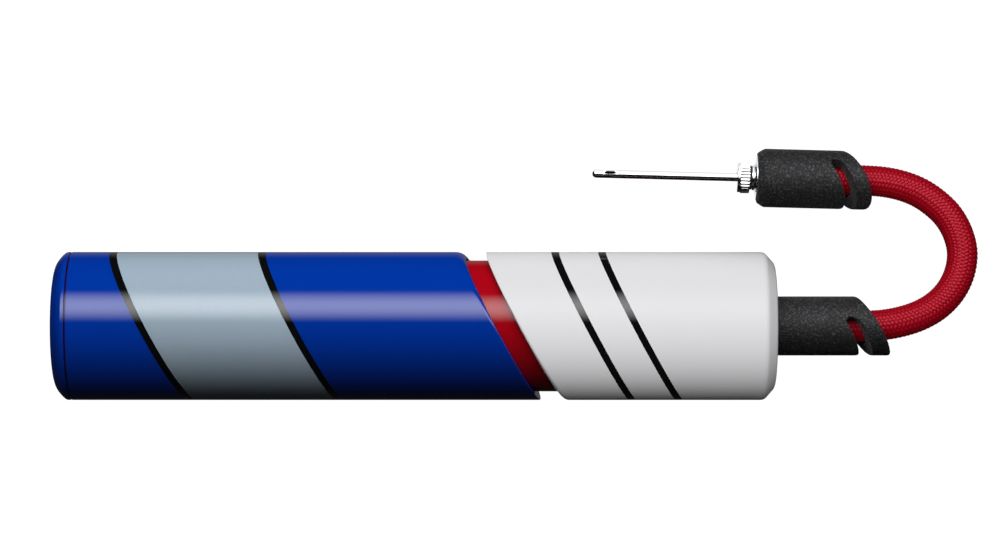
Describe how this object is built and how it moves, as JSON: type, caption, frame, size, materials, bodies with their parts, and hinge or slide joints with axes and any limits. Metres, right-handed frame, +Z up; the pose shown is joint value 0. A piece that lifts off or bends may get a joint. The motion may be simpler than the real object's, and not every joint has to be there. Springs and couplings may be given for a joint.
{
  "type": "ball inflation pump",
  "caption": "Telescoping hand pump for balls: handle sleeve over a barrel, grip with check valve, short braided hose in rubber boots and a screw-in ball needle.",
  "frame": {"origin": "on the surface the pump lies on, below the middle of the pump's body; the hose and what is on it are not counted", "axes": "+X along the pump's axis from the handle's end to the hose's end, +Z up from the surface, +Y towards the needle"},
  "size_m": [0.2373, 0.0649, 0.038],
  "materials": {
    "blue_anodised": "gloss blue anodised aluminium",
    "red_anodised": "satin red anodised aluminium",
    "white_plastic": "satin gloss white ABS",
    "black_rubber": "fine matt grain",
    "red_braid": "braided polyester yarn",
    "chrome": "bright plate",
    "brass": "turned",
    "steel": "turned and ground",
    "nylon": "natural nylon",
    "acetal": "moulded black acetal"
  },
  "bodies": {
    "head": {"barrel_tube": "red_anodised", "barrel_gland": "acetal", "gland_bush": "nylon", "end_bumper": "black_rubber", "head_plug": "acetal", "head_seal_1": "black_rubber", "head_seal_2": "black_rubber", "valve_seat": "black_rubber", "valve_spring": "steel", "grip_shell": "white_plastic", "grip_nut": "brass", "hose_nipple": "brass", "near_ferrule": "steel", "near_boot": "black_rubber", "hose": "red_braid", "far_boot": "black_rubber", "far_ferrule": "steel", "needle_socket": "chrome"},
    "handle": {"handle_sleeve": "blue_anodised", "handle_cap": "blue_anodised", "cap_ring": "red_anodised", "sleeve_bush": "nylon", "piston_rod": "steel", "rod_nut": "steel", "piston_core": "acetal", "piston_washer": "steel", "piston_bolt": "steel"},
    "intake": {"intake_ring": "black_rubber"},
    "check_ball": {"valve_ball": "steel"},
    "needle_seat": {"needle_gasket": "black_rubber"},
    "needle": {"needle_hub": "chrome", "needle_tube": "chrome"}
  },
  "joints": [
    {"name": "pump_stroke", "type": "slide", "parent": "head", "child": "handle", "axis": [-1, 0, 0], "range_m": [0, 0.0795]},
    {"name": "intake_float", "type": "slide", "parent": "handle", "child": "intake", "axis": [1, 0, 0], "range_m": [0, 0.0016]},
    {"name": "valve_lift", "type": "slide", "parent": "head", "child": "check_ball", "axis": [1, 0, 0], "range_m": [0, 0.0012], "stiffness_N_per_m": 60, "springref_m": -0.002, "deforming": ["valve_spring"]},
    {"name": "needle_advance", "type": "slide", "parent": "head", "child": "needle_seat", "axis": [-0.9997, 0.0262, 0], "range_m": [0, 0.00476]},
    {"name": "needle_turn", "type": "hinge", "parent": "needle_seat", "child": "needle", "pos_m": [0.0885, 0.03835, 0.0076], "axis": [-0.9997, 0.0262, 0], "range_deg": [0, 2160]}
  ],
  "couplings": [
    {"joint": "needle_turn", "follows": "needle_advance", "rad_per_m": 7917.6}
  ]
}
